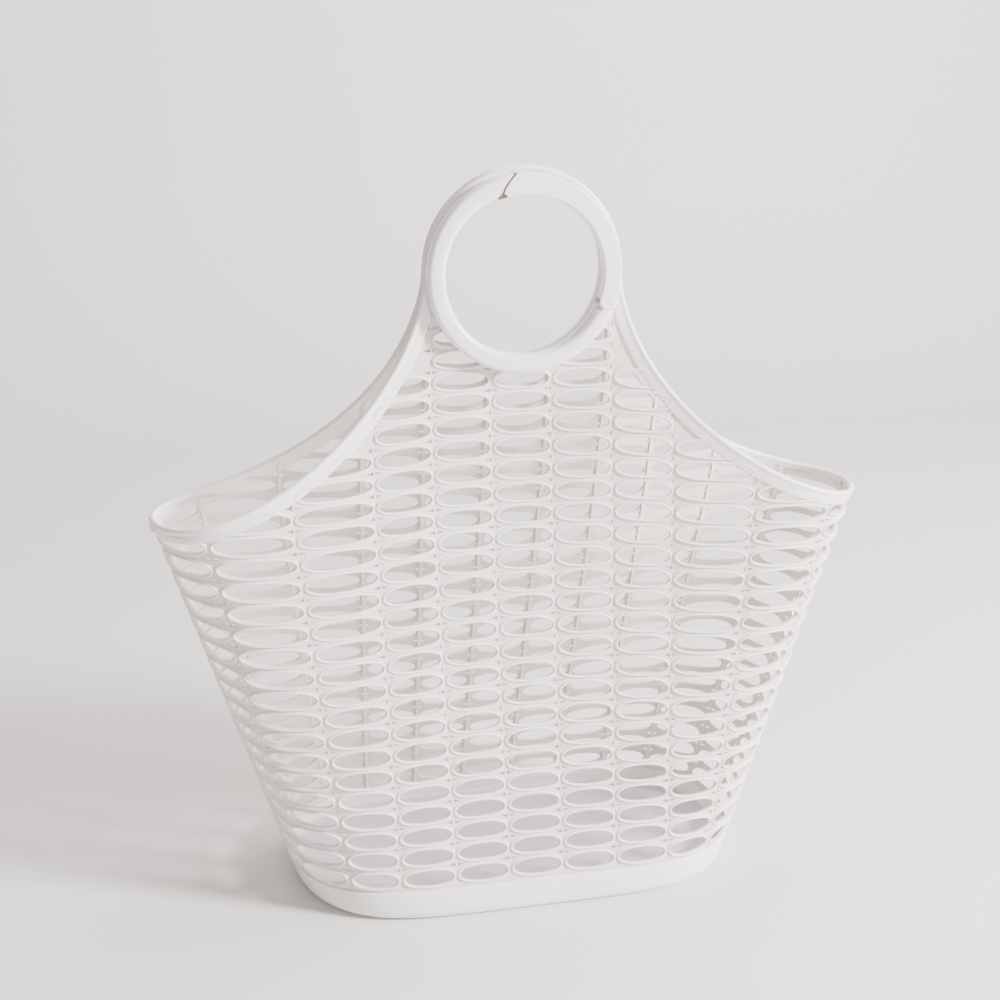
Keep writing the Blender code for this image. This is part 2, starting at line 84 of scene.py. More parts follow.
# One lattice cell; profiles are pairs of a distance or a share of a half width, and a rise in mm
RIB_WIDTH = 1.0 * MM
WEB_HALF = 1.75 * MM
OPENING_SIDE_MARGIN = 2.0 * MM
OPENING_SQUARENESS = 2.25
NOTCH_HALF_HEIGHT = 1.0 * MM
NOTCH_LENGTH = 4.2 * MM
PLATE_BACK = -0.7 * MM
END_PLATE_BACK = -1.3 * MM
PLATE_FRONT = 0.15 * MM
BEAD_PROFILE = ((0.0, 0.1), (0.12, 0.8), (0.4, 1.3), (0.75, 1.48), (1.1, 1.3), (1.34, 0.8),
                (1.47, 0.25))
RIB_FRONT = ((1.0, 0.15), (0.0, 0.2), (-1.0, 0.15))
RIB_BACK = ((-2.3, -0.9), (-1.8, -1.6), (1.8, -1.6), (2.3, -0.9))
# Faces whose mean rise lies between these get the darker plastic: painted shade in the recesses
PAINTED_SHADE_RISES = (-1.4 * MM, 0.45 * MM)
SIDE_ANGLES = (-18.0, -8.0, 0.0, 8.0, 18.0)
CORNER_ANGLE = 32.0
TOP_POINTS = 11

# Rim band; the profiles are pairs of a distance from an edge and a rise, in mm
RUN_BAND = 0.0088
BAND_BEAD = ((0.0, 0.0), (0.2, 0.95), (0.8, 1.62), (1.6, 1.85), (2.4, 1.68), (3.0, 1.3),
             (3.6, 1.15))
BAND_BEAD_BACK = ((3.4, -1.25), (2.6, -1.5), (1.7, -1.8), (0.8, -1.5), (0.2, -0.8))
BAND_LOWER_EDGE = ((1.2, 1.15), (0.4, 0.95), (0.0, 0.3))
BAND_LOWER_EDGE_BACK = ((0.0, -0.9), (0.5, -1.25))
STATION_SPACING = 2.4 * MM
NEAR_BAND = 3.0 * RUN_BAND
PLACES_AT_ONCE = 4000
END_RIM_PASSES = 12

# Rings and loops
LOOP_BAND = 7.5 * MM
FRONT_RING_WIDTH = 10.0 * MM
BACK_RING_WIDTH = 8.0 * MM
BACK_RING_EDGE = 2.4 * MM
LOOP_UNDERSIDE_INSET = 0.1 * MM
LOOP_UNDERSIDE_HALF_THICKNESS = 1.7 * MM
LOOP_UNDERSIDE_EDGE = 0.8 * MM
ARC_STATIONS = 97
ARC_EDGE_POINTS = 5

# Fixed arc and clasp of the front ring
FIXED_FRONT_EDGE = 2.9 * MM
FIXED_BACK_EDGE = 1.6 * MM
CLASP_FRONT_EDGE = 1.1 * MM
CLASP_BACK_EDGE = 2.8 * MM
FIXED_STEPS = 110
CLASP_STEPS = 60
HINGE_ANGLE = math.radians(-18.0)
SEAM_OUTER_ANGLE = math.radians(98.0)
SEAM_INNER_ANGLE = math.radians(110.0)
CLASP_GAP = 0.4 * MM
CLASP_EXTRA_WIDTH = 1.2 * MM
CLASP_TAPER = (0.1, 0.95)
SEAM_GAP = 1.35 * MM
SEAM_FLOOR_GAP = 0.42 * MM
SEAM_DEPTH = 1.6 * MM
SEAM_LEDGE_STEP = 0.1 * MM
SEAM_CURL = 0.25
SEAM_STEPS = 14
SEAM_EDGE = 0.35 * MM
HINGE_NOTCH_ANGLE = 0.14
HINGE_NOTCH_STEPS = 6
HINGE_NOTCH_POWER = 0.6
HINGE_NOTCH_REACH = 6.2 * MM
HINGE_NOTCH_WIDTH = 1.0 * MM
FIXED_SETBACK = 0.9 * MM
FIXED_SETBACK_REACH = 0.3
SEAM_FACE_AREA = 6.0 * MM * MM
NOTCH_START = 0.8
NOTCH_CLASP_SIDE = 2.6 * MM
NOTCH_FIXED_SIDE = 1.6 * MM
HINGE_GAP = 0.03 * MM
CLASP_STEP_SLOPE = 0.12 * MM

# Tray
TRAY_PROUD = 1.35 * MM
TRAY_WALL = 3.0 * MM
TRAY_FLOOR_TOP = 5.6 * MM
TRAY_BOTTOM_ROUND = 6.0 * MM
TRAY_INSIDE_ROUND = 4.0 * MM
TRAY_LIP = 1.0 * MM
TRAY_POINTS = 440

WELD_DISTANCE = 0.02 * MM

# Camera; the angles are in radians
LENS_MM = 55.2
SENSOR_MM = 36.0
CAMERA_PLACE = (-0.2129, -0.7979, 0.478)
CAMERA_YAW = 0.2489
CAMERA_PITCH = 0.3015
CAMERA_ROLL = -0.0183

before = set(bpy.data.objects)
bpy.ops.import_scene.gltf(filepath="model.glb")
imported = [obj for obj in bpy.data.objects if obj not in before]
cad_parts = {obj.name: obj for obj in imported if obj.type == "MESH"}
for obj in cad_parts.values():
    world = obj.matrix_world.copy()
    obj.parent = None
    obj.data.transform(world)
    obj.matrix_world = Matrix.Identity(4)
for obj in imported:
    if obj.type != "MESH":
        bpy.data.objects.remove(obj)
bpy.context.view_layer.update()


def box_size(node):
    low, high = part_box(node)
    return low, high, high - low


_, tray_high, _ = box_size("base_tray")
loop_low, loop_high, loop_size = box_size("front_loop")
front_low, front_high, _ = box_size("front_grip_ring")
back_low, back_high, back_size = box_size("back_grip_ring")

TRAY_HEIGHT = tray_high.z
RING_CENTRE = (loop_low.z + loop_high.z) / 2.0
LOOP_OUTER = loop_size.x / 2.0
LOOP_INNER = LOOP_OUTER - LOOP_BAND
LOOP_MIDDLE = -(loop_low.y + loop_high.y) / 2.0
RING_OUTER = back_size.x / 2.0
RING_INNER = RING_OUTER - FRONT_RING_WIDTH
BACK_RING_INNER = RING_OUTER - BACK_RING_WIDTH
BACK_CENTRE = (back_low.z + back_high.z) / 2.0
FRONT_CENTRE = (front_low.x + RING_OUTER, front_low.z + RING_OUTER)
RING_BOTTOM = RING_CENTRE - LOOP_OUTER


def smooth_step(value, low, high):
    share = np.clip((value - low) / (high - low), 0.0, 1.0)
    return share * share * (3.0 - 2.0 * share)


# The wall surface, tabulated over columns and heights

TABLE_STEPS = 24
TABLE_HEIGHTS = np.linspace(0.0, 0.42, 337)


def half_length(z):
    return TRAY_HALF_LENGTH + (RIM_HALF_LENGTH - TRAY_HALF_LENGTH) * z / RIM_END_HEIGHT


def end_share(z):
    return np.clip(np.asarray(z, float) / RIM_END_HEIGHT, 0.0, 1.0)


def squareness(z):
    return TRAY_SQUARENESS + (RIM_SQUARENESS - TRAY_SQUARENESS) * end_share(z)


def wall_depth(x, z):
    """Distance of the wall's middle surface from the middle plane."""
    share = np.clip(np.abs(x) / half_length(z), 0.0, 1.0)
    closing = np.clip(1.0 - np.asarray(z, float) / RING_BOTTOM, 0.0, None) ** WALL_CLOSING_POWER
    centre = LOOP_MIDDLE + (TRAY_HALF_WIDTH - LOOP_MIDDLE) * closing
    end = TRAY_HALF_WIDTH + (RIM_END_DEPTH - TRAY_HALF_WIDTH) * end_share(z)
    rise = np.clip((z - RIM_END_HEIGHT) / (RING_CENTRE - RIM_END_HEIGHT), 0.0, 1.0)
    depth = centre + (end - centre) * share ** END_SWELL_POWER * (1.0 - rise ** 3)
    return depth * np.sqrt(np.clip(1.0 - share ** squareness(z), 0.0, 1.0))


def quarter_plan(z, samples=700):
    """x, depth and length along the wall from the middle of the front to the tip."""
    turn = np.linspace(0.0, 1.0, samples) ** 2 * math.pi / 2.0
    x = half_length(z) * np.sin(turn) ** (2.0 / squareness(z))
    depth = wall_depth(x, z)
    depth[-1] = 0.0
    return x, depth, np.concatenate([[0.0], np.cumsum(np.hypot(np.diff(x), np.diff(depth)))])


def column_arcs(z, total):
    """Lengths along the wall at columns 0, FRONT_EDGE, FLARE_EDGE and TIP_EDGE."""
    share = float(end_share(z))
    front = FRONT_EDGE * (COLUMN_WIDTH_LOW + (COLUMN_WIDTH_HIGH - COLUMN_WIDTH_LOW) * share)
    flare = FLARE_COLUMN_LOW + (FLARE_COLUMN_HIGH - FLARE_COLUMN_LOW) * share
    return [0.0, front, front + flare, total]


def wall_tables():
    """x, y and the unit normal of the wall once round, and the widths of the column kinds."""
    columns = np.linspace(0.0, TIP_EDGE, int(TIP_EDGE * TABLE_STEPS) + 1)
    x_rows, y_rows, widths = [], [], []
    for z in TABLE_HEIGHTS:
        x, depth, length = quarter_plan(z)
        edges = column_arcs(z, length[-1])
        arcs = np.interp(columns, [0.0, FRONT_EDGE, FLARE_EDGE, TIP_EDGE], edges)
        x, depth = np.interp(arcs, length, x), np.interp(arcs, length, depth)
        x_rows.append(np.concatenate([-x[:-1], -x[::-1][:-1], x[:-1], x[::-1]]))
        y_rows.append(np.concatenate([depth[:-1], -depth[::-1][:-1], -depth[:-1], depth[::-1]]))
        widths.append([edges[1] / FRONT_EDGE, edges[2] - edges[1], (edges[3] - edges[2]) / 2.0])
    x, y = np.array(x_rows), np.array(y_rows)
    around = []
    for values in (x, y):
        padded = np.concatenate([values[:, -2:-1], values, values[:, 1:2]], axis=1)
        around.append(padded[:, 2:] - padded[:, :-2])
    step = TABLE_HEIGHTS[1] - TABLE_HEIGHTS[0]
    up_x, up_y = np.gradient(x, step, axis=0), np.gradient(y, step, axis=0)
    normal = np.stack([around[1], -around[0], around[0] * up_y - around[1] * up_x], axis=-1)
    normal /= np.linalg.norm(normal, axis=-1, keepdims=True)
    return x, y, normal, np.array(widths)


WALL_X, WALL_Y, WALL_NORMAL, COLUMN_WIDTHS = wall_tables()


def lookup(table, column, height):
    """Bilinear value of a wall table."""
    across = (np.asarray(column, float) + BACK_MIDDLE) % (2.0 * BACK_MIDDLE) * TABLE_STEPS
    up = np.interp(height, TABLE_HEIGHTS, np.arange(len(TABLE_HEIGHTS)))
    c = np.minimum(across.astype(int), table.shape[1] - 2)
    r = np.minimum(up.astype(int), table.shape[0] - 2)
    fc, fr = across - c, up - r
    if table.ndim == 3:
        fc, fr = fc[..., None], fr[..., None]
    low = table[r, c] * (1.0 - fc) + table[r, c + 1] * fc
    high = table[r + 1, c] * (1.0 - fc) + table[r + 1, c + 1] * fc
    return low * (1.0 - fr) + high * fr


def surface(column, height, rise=0.0):
    """Points that stand rise outside the wall's middle surface."""
    column, height, rise = np.broadcast_arrays(np.asarray(column, float), height, rise)
    normal = lookup(WALL_NORMAL, column, height)
    normal /= np.linalg.norm(normal, axis=-1, keepdims=True)
    place = np.stack([lookup(WALL_X, column, height), lookup(WALL_Y, column, height), height], -1)
    return place + normal * rise[..., None]


def column_width(number, height):
    """Width of the column with that number; 0 is the middle one, and 5 and 6 meet at the tip."""
    kind = 0 if abs(number) < FRONT_EDGE else 1 if abs(number) < FLARE_EDGE else 2
    return np.interp(height, TABLE_HEIGHTS, COLUMN_WIDTHS[:, kind])


def column_at(x, height):
    """The column of a place on the front wall."""
    steps = np.linspace(0.0, TIP_EDGE, int(TIP_EDGE * TABLE_STEPS) + 1)
    found = [np.interp(abs(px), lookup(WALL_X, steps, np.full(len(steps), pz)), steps)
             for px, pz in zip(x, height)]
    return np.copysign(found, x)


# The rim line


def rim_height(x):
    """Height of the rim's top edge: level at the ends, upright beside the ring."""
    share = np.clip((RIM_HALF_LENGTH - np.abs(x)) / (RIM_HALF_LENGTH - LOOP_OUTER), 0.0, 1.0)
    rise = 1.0 - (1.0 - share ** RIM_CURVE_POWER) ** (1.0 / RIM_CURVE_POWER)
    return RIM_END_HEIGHT + (RING_CENTRE - RIM_END_HEIGHT) * rise


def rim_path(samples=900):
    """x and z along the rim's top edge from the tip to the side of the ring."""
    angle = np.linspace(0.0, 1.0, samples) ** 2 * math.pi / 2.0
    span = RIM_HALF_LENGTH - LOOP_OUTER
    x = RIM_HALF_LENGTH - span * np.sin(angle) ** (2.0 / RIM_CURVE_POWER)
    lift = 1.0 - np.cos(angle) ** (2.0 / RIM_CURVE_POWER)
    return x, RIM_END_HEIGHT + (RING_CENTRE - RIM_END_HEIGHT) * lift


def inward(x, z):
    """Unit normals of a path in x and z, towards the wall below it."""
    along = np.stack([np.gradient(x), np.gradient(z)], -1)
    along /= np.linalg.norm(along, axis=-1, keepdims=True)
    return np.stack([-along[:, 1], along[:, 0]], -1)


def clamp_front(column, height):
    """Hold places of the front wall behind the rim band and the loop.

    Gives the columns and heights, and a number for each: 0 free, 1 at the band, 2 at the loop.
    """
    x = lookup(WALL_X, column, height)
    z = np.array(height, float)
    held = np.zeros(len(x), int)
    rim_x, rim_z = rim_path(360)
    normal = inward(rim_x, rim_z)
    middle = np.stack([rim_x, rim_z], -1) + normal * RUN_BAND / 2.0
    near = np.nonzero(z > rim_height(x) - NEAR_BAND)[0]
    for start in range(0, len(near), PLACES_AT_ONCE):
        some = near[start:start + PLACES_AT_ONCE]
        place = np.stack([np.abs(x[some]), z[some]], -1)
        gap = place[:, None, :] - middle[None, :, :]
        best = np.argmin((gap ** 2).sum(-1), axis=1)
        outside = (gap[np.arange(len(some)), best] * normal[best]).sum(-1) < 0.0
        hit = some[outside]
        x[hit] = np.copysign(middle[best[outside], 0], x[hit])
        z[hit] = middle[best[outside], 1]
        held[hit] = 1
    radius = np.hypot(x, z - RING_CENTRE)
    hold = (LOOP_OUTER + LOOP_INNER) / 2.0
    inside = radius < hold
    grow = hold / np.maximum(radius[inside], MM)
    x[inside] *= grow
    z[inside] = RING_CENTRE + (z[inside] - RING_CENTRE) * grow
    held[inside] = 2
    column = np.array(column, float)
    moved = held > 0
    column[moved] = column_at(x[moved], z[moved])
    return column, z, held


def clamp_end(column, height):
    """Hold places of an end wall behind the rim band."""
    top = np.full(len(column), RIM_END_HEIGHT)
    for _ in range(END_RIM_PASSES):
        top = rim_height(lookup(WALL_X, column, top))
    middle = top - RUN_BAND / 2.0
    held = (height > middle).astype(int)
    return column, np.minimum(height, middle), held


# Meshes


def make_piece(name, points, faces, material, smooth_angle=62.0, painted_shade=None):
    """A mesh object from points and faces, with coinciding points joined.

    Where the last argument is given, it holds a number for each face: 1 gives it the darker plastic,
    which is painted shade.
    """
    mesh = bpy.data.meshes.new(name)
    mesh.from_pydata([tuple(p) for p in np.asarray(points, float)], [], [tuple(f) for f in faces])
    mesh.materials.append(material)
    if painted_shade is not None:
        mesh.materials.append(painted_shade_plastic)
        mesh.polygons.foreach_set("material_index", painted_shade)
    builder = bmesh.new()
    builder.from_mesh(mesh)
    bmesh.ops.remove_doubles(builder, verts=builder.verts, dist=WELD_DISTANCE)
    bmesh.ops.dissolve_degenerate(builder, edges=builder.edges, dist=WELD_DISTANCE)
    loose = [v for v in builder.verts if not v.link_faces]
    bmesh.ops.delete(builder, geom=loose, context="VERTS")
    builder.to_mesh(mesh)
    builder.free()
    mesh.shade_smooth()
    mesh.set_sharp_from_angle(angle=math.radians(smooth_angle))
    piece = bpy.data.objects.new(name, mesh)
    bpy.context.scene.collection.objects.link(piece)
    return piece


def mirrored(points, faces, axis):
    flipped = np.array(points, float)
    flipped[:, axis] *= -1.0
    return flipped, [tuple(f)[::-1] for f in faces]


def loop_faces(rings, count):
    """Quads between neighbouring rings of count points, numbered ring by ring."""
    faces = []
    for r in range(rings - 1):
        for i in range(count):
            j = (i + 1) % count
            faces.append((r * count + i, r * count + j, (r + 1) * count + j, (r + 1) * count + i))
    return faces


def capped_faces(rings, count):
    """The quads between rings, with a face across the first ring and across the last."""
    last = (rings - 1) * count
    ends = [tuple(range(count))[::-1], tuple(range(last, last + count))]
    return loop_faces(rings, count) + ends


def row_height(row):
    middle = min(max(row - LOW_ROWS, 0), MIDDLE_ROWS)
    high = max(row - LOW_ROWS - MIDDLE_ROWS, 0)
    return (FIRST_ROW_HEIGHT + LOW_ROW_PITCH * min(row, LOW_ROWS) + MIDDLE_ROW_PITCH * middle
            + HIGH_ROW_PITCH * high)


def row_edge(row):
    """Height of the line between a row and the one below; the first stands in the tray's edge."""
    if row == 0:
        return TRAY_HEIGHT - 0.5 * MM
    return (row_height(row - 1) + row_height(row)) / 2.0


def bowed(column, height):
    """Height with the rows' slight bow: up in the middle near the ring, down towards the ends."""
    along = np.abs((np.asarray(column) + BACK_MIDDLE / 2.0) % BACK_MIDDLE - BACK_MIDDLE / 2.0)
    up = BOW_UP * smooth_step(height, *BOW_UP_HEIGHTS) * (1.0 - smooth_step(along, 1.0, FLARE_EDGE))
    down = BOW_DOWN * smooth_step(height, *BOW_DOWN_HEIGHTS) * smooth_step(along, 1.5, FLARE_EDGE)
    return height + up - down


def side_heights(row):
    low, high = row_edge(row) + NOTCH_HALF_HEIGHT, row_edge(row + 1) - NOTCH_HALF_HEIGHT
    return np.linspace(low, high, len(SIDE_ANGLES))


def cell_outline(number, row):
    """Columns and heights round a cell's plate, whose corners are cut for the small openings."""
    side = side_heights(row)
    reach = 0.5 - RIB_WIDTH / 2.0 / column_width(number, side)
    columns, heights = [], []
    for sign, edge in ((1.0, row_edge(row + 1)), (-1.0, row_edge(row))):
        columns.append(number + sign * reach[::int(sign)])
        heights.append(side[::int(sign)])
        length = 0.5 - (RIB_WIDTH / 2.0 + NOTCH_LENGTH) / column_width(number, edge)
        columns.append(number + sign * np.linspace(length, -length, TOP_POINTS))
        heights.append(np.full(TOP_POINTS, edge))
    return np.concatenate(columns), np.concatenate(heights)


def cell_angles():
    right = np.radians(SIDE_ANGLES)
    top = np.radians(np.linspace(CORNER_ANGLE, 180.0 - CORNER_ANGLE, TOP_POINTS))
    return np.concatenate([right, top, right + math.pi, top + math.pi])


CELL_ANGLES = cell_angles()


def plate_back(number):
    return END_PLATE_BACK if FLARE_EDGE < abs(number) < BACK_MIDDLE - FLARE_EDGE else PLATE_BACK


def solid_cell(number, row):
    """Columns, heights, rises and faces of a cell with no opening."""
    outline_columns, outline_heights = cell_outline(number, row)
    count = len(outline_columns)
    centre = (row_edge(row) + row_edge(row + 1)) / 2.0
    columns = np.concatenate([outline_columns, outline_columns, [number, number]])
    heights = np.concatenate([outline_heights, outline_heights, [centre, centre]])
    rises = np.repeat([PLATE_FRONT, plate_back(number)], count)
    rises = np.concatenate([rises, [PLATE_FRONT, plate_back(number)]])
    faces = []
    for i in range(count):
        j = (i + 1) % count
        faces += [(i, j, 2 * count), (count + j, count + i, 2 * count + 1)]
    return columns, heights, rises, faces


def lattice_cell(number, row):
    """Columns, heights, rises and faces of one cell: a plate round a beaded oval opening."""
    outline_columns, outline_heights = cell_outline(number, row)
    centre = (row_edge(row) + row_edge(row + 1)) / 2.0 if row else row_height(0)
    width = column_width(number, centre)
    long_half = width / 2.0 - OPENING_SIDE_MARGIN
    short_half = (row_edge(row + 2) - row_edge(row + 1)) / 2.0 - WEB_HALF
    cosine, sine = (np.sign(v) * np.abs(v) ** (2.0 / OPENING_SQUARENESS)
                    for v in (np.cos(CELL_ANGLES), np.sin(CELL_ANGLES)))
    steepness = OPENING_SQUARENESS - 1.0
    out = np.stack([np.sign(cosine) * np.abs(cosine) ** steepness / long_half,
                    np.sign(sine) * np.abs(sine) ** steepness / short_half], -1)
    out /= np.linalg.norm(out, axis=-1, keepdims=True)
    columns, heights, rises = [], [], []
    profile = ((0.0, plate_back(number) / MM),) + BEAD_PROFILE
    for away, rise in profile:
        across = long_half * cosine + out[:, 0] * away * MM
        up = short_half * sine + out[:, 1] * away * MM
        columns.append(number + across / width)
        heights.append(centre + up)
        rises.append(np.full(len(up), rise * MM))
    for rise in (PLATE_FRONT, plate_back(number)):
        columns.append(outline_columns)
        heights.append(outline_heights)
        rises.append(np.full(len(outline_heights), rise))
    count, rings = len(CELL_ANGLES), len(columns)
    faces = loop_faces(rings - 1, count)
    last, back = (rings - 2) * count, (rings - 1) * count
    corners = [len(SIDE_ANGLES) - 1, len(SIDE_ANGLES) + TOP_POINTS - 1]
    corners += [c + len(SIDE_ANGLES) + TOP_POINTS for c in corners]
    for i in range(count):
        j = (i + 1) % count
        if i in corners:
            faces.append((last + i, last + j, back + j, back + i))
        faces.append((back + i, back + j, j, i))
    return np.concatenate(columns), np.concatenate(heights), np.concatenate(rises), faces


def lattice_rib(edge, row):
    """Columns, heights, rises and faces of the rib beside one cell."""
    side = side_heights(row)
    heights = np.concatenate([[row_edge(row)], side, [row_edge(row + 1)]])
    left, right = column_width(edge - 0.5, heights), column_width(edge + 0.5, heights)
    right_back, left_back = plate_back(edge + 0.5) / MM, plate_back(edge - 0.5) / MM
    section = ((1.0, right_back),) + RIB_FRONT + ((-1.0, left_back),)
    flat = len(section)
    section += RIB_BACK
    columns = np.array([[edge + share * RIB_WIDTH / 2.0 / (right[i] if share > 0.0 else left[i])
                         for share, _ in section]
                        for i in range(len(heights))])
    rises = np.array([[rise * MM for _, rise in section]] * len(heights))
    tall = np.repeat(heights[:, None], len(section), axis=1)
    faces = []
    count = len(section)
    for r in range(len(heights) - 1):
        for k in range(count):
            beside_cell = k in (0, flat - 2) and 0 < r < len(heights) - 2
            if not beside_cell:
                j = (k + 1) % count
                faces.append((r * count + k, (r + 1) * count + k,
                              (r + 1) * count + j, r * count + j))
    return columns.ravel(), tall.ravel(), rises.ravel(), faces


def lattice_wall(numbers, edges, rows, clamp):
    """Points and faces of a stretch of lattice wall, and which faces get painted shade: those
    between the beads, inside the openings and on the wall's back.
    """
    parts = []
    for number in numbers:
        for row in range(rows):
            middle = bowed(number, row_height(row))
            at_band = clamp(np.array([float(number)]), np.array([middle]))[2][0] == 1
            parts.append((solid_cell if at_band else lattice_cell)(number, row))
    parts += [lattice_rib(edge, row) for edge in edges for row in range(rows)]
    columns = np.concatenate([p[0] for p in parts])
    heights = np.concatenate([p[1] for p in parts])
    rises = np.concatenate([p[2] for p in parts])
    columns, heights, held = clamp(columns, bowed(columns, heights))
    points = surface(columns, heights, rises)
    faces, painted_shade, start = [], [], 0
    for part in parts:
        for face in part[3]:
            face = tuple(start + i for i in face)
            if held[face[0]] == 0 or any(held[i] != held[face[0]] for i in face):
                faces.append(face)
                # Faces in the recesses take the darker plastic, which is painted shade
                painted_shade.append(int(PAINTED_SHADE_RISES[0] < rises[list(face)].mean() < PAINTED_SHADE_RISES[1]))
        start += len(part[0])
    return points, faces, painted_shade


# The rim band and loops


def band_section(width):
    """Distances from the top edge and rises round the band's section, in metres."""
    lower = [(width / MM - inset, rise) for inset, rise in BAND_LOWER_EDGE + BAND_LOWER_EDGE_BACK]
    return np.array([*BAND_BEAD, *lower, *BAND_BEAD_BACK]) * MM


def sweep(places, tangents, normals, sections):
    """A closed tube: each section's points lie inward of the path and along the normal."""
    rings = []
    for place, tangent, normal, section in zip(places, tangents, normals, sections):
        inside = np.cross(normal, tangent)
        rings.append(place + section[:, :1] * inside + section[:, 1:] * normal)
    return np.concatenate(rings), capped_faces(len(rings), len(rings[0]))


def spaced(points, spacing):
    """A path's points at even spacing."""
    steps = np.linalg.norm(np.diff(points, axis=0), axis=1)
    length = np.concatenate([[0.0], np.cumsum(steps)])
    at = np.linspace(0.0, length[-1], int(length[-1] / spacing) + 1)
    return np.stack([np.interp(at, length, points[:, k]) for k in range(3)], -1)


def front_rim_band():
    """The front rim from tip to tip: up the run, round the top of the loop and down again."""
    rim_x, rim_z = rim_path()
    run = np.stack([rim_x, -wall_depth(rim_x, rim_z), rim_z], -1)
    angle = np.linspace(0.0, math.pi / 2.0, 200)[1:]
    top = np.stack([LOOP_OUTER * np.cos(angle), np.full(len(angle), -LOOP_MIDDLE),
                    RING_CENTRE + LOOP_OUTER * np.sin(angle)], -1)
    half = np.concatenate([run, top])
    path = np.concatenate([half, (half * (-1.0, 1.0, 1.0))[::-1][1:]])
    path = spaced(path, STATION_SPACING)
    tangents = np.gradient(path, axis=0)
    tangents[0], tangents[-1] = (0.0, -1.0, 0.0), (0.0, 1.0, 0.0)
    tangents /= np.linalg.norm(tangents, axis=1, keepdims=True)
    low = path[:, 2] < RING_CENTRE
    columns = column_at(path[:, 0], np.minimum(path[:, 2], RING_CENTRE))
    normals = lookup(WALL_NORMAL, columns, np.minimum(path[:, 2], RING_CENTRE))
    normals[~low] = (0.0, -1.0, 0.0)
    normals[0], normals[-1] = (1.0, 0.0, 0.0), (-1.0, 0.0, 0.0)
    normals -= tangents * (normals * tangents).sum(-1, keepdims=True)
    normals /= np.linalg.norm(normals, axis=1, keepdims=True)
    loop_share = smooth_step(path[:, 2], RING_BOTTOM, RING_CENTRE)
    widths = RUN_BAND + (LOOP_OUTER - LOOP_INNER - RUN_BAND) * loop_share
    return sweep(path, tangents, normals, [band_section(w) for w in widths])


def loop_arc(first, last, outer, inner, middle_y, half_thick, edge, height):
    """Part of a flat ring round the Y direction, with rounded edges."""
    turns = np.linspace(first, last, ARC_STATIONS)
    quarter = np.radians(np.linspace(0.0, 90.0, ARC_EDGE_POINTS))
    section = []
    for near_inner, front in ((False, True), (True, True), (True, False), (False, False)):
        angles = quarter if near_inner == front else quarter[::-1]
        for a in angles:
            cut, depth = edge * (1.0 - math.sin(a)), edge * (1.0 - math.cos(a))
            radius = inner + cut if near_inner else outer - cut
            section.append((radius, (-1.0 if front else 1.0) * (half_thick - depth)))
    rings = [[(r * math.cos(t), middle_y + y, height + r * math.sin(t)) for r, y in section]
             for t in turns]
    return np.concatenate(rings), capped_faces(len(rings), len(section))


# The front ring and its clasp


def clasp_hinge():
    middle = (RING_INNER + RING_OUTER) / 2.0
    return middle * math.cos(HINGE_ANGLE), middle * math.sin(HINGE_ANGLE)


def arc_points(radius, first, last, count):
    return [(radius * math.cos(first + (last - first) * i / count),
             radius * math.sin(first + (last - first) * i / count)) for i in range(count + 1)]


def seam_share(radius):
    """How far in from the ring's outside a radius is: 0 outside, 1 inside."""
    return (RING_OUTER - radius) / (RING_OUTER - RING_INNER)


def seam_angle(share):
    turned = share * (1.0 + SEAM_CURL * (1.0 - share))
    return SEAM_OUTER_ANGLE + (SEAM_INNER_ANGLE - SEAM_OUTER_ANGLE) * turned


def notch_opening(share):
    return min(max(share - NOTCH_START, 0.0) / (1.0 - NOTCH_START), 1.0) ** 2


def seam_points(inner, outer, shift, notch):
    """The slanted seam from the outside of the ring to the inside, where a notch opens."""
    points = []
    for radius in np.linspace(outer, inner, SEAM_STEPS + 1):
        share = seam_share(radius)
        angle = seam_angle(share) + (shift + notch * notch_opening(share)) / radius
        points.append((radius * math.cos(angle), radius * math.sin(angle)))
    return points


def sweep_round(first, last, through, centre, radius, count=16):
    """Points on a circle from the angle first to last, passing the angle through."""
    turn = 2.0 * math.pi
    forward = (last - first) % turn
    total = forward if (through - first) % turn <= forward else forward - turn
    return [(centre[0] + radius * math.cos(first + total * i / count),
             centre[1] + radius * math.sin(first + total * i / count)) for i in range(count + 1)]


def hinge_round(inner, outer, away):
    """Round end of an arc, from inside to outside."""
    through = HINGE_ANGLE + away * math.pi / 2.0
    return sweep_round(HINGE_ANGLE + math.pi, HINGE_ANGLE, through, clasp_hinge(),
                       (outer - inner) / 2.0)


def hinge_hollow(inner, outer, toward):
    """Hollow end of an arc, clear of the other arc's round end, from inside to outside."""
    reach = (RING_OUTER - RING_INNER) / 2.0 + HINGE_GAP
    px, pz = clasp_hinge()
    middle = math.hypot(px, pz)
    ends = []
    for edge in (inner, outer):
        cosine = (edge ** 2 + middle ** 2 - reach ** 2) / (2.0 * edge * middle)
        angle = HINGE_ANGLE + toward * math.acos(cosine)
        ends.append(math.atan2(edge * math.sin(angle) - pz, edge * math.cos(angle) - px))
    through = HINGE_ANGLE + toward * math.pi / 2.0
    return sweep_round(ends[0], ends[1], through, (px, pz), reach)


def direction(point):
    return math.atan2(point[1], point[0])


def clasp_outline(inner, outer, round_end, open_seam):
    """Outline of the clasp arc at one depth, from its hinge end round to the seam and back."""
    end = hinge_round(inner, outer, -1.0) if round_end else hinge_hollow(inner, outer, 1.0)
    gap, notch = (SEAM_GAP, NOTCH_CLASP_SIDE) if open_seam else (SEAM_FLOOR_GAP, 0.0)
    seam = seam_points(inner - CLASP_EXTRA_WIDTH, outer, -gap, -notch)
    outside = arc_points(outer, direction(end[-1]), direction(seam[0]), CLASP_STEPS)
    inside = []
    for share in np.linspace(0.0, 1.0, CLASP_STEPS + 1):
        angle = direction(seam[-1]) + (direction(end[0]) - direction(seam[-1])) * share
        radius = inner - CLASP_EXTRA_WIDTH * (1.0 - smooth_step(share, *CLASP_TAPER))
        inside.append((radius * math.cos(angle), radius * math.sin(angle)))
    return end[:-1] + outside[:-1] + seam[:-1] + inside[:-1]


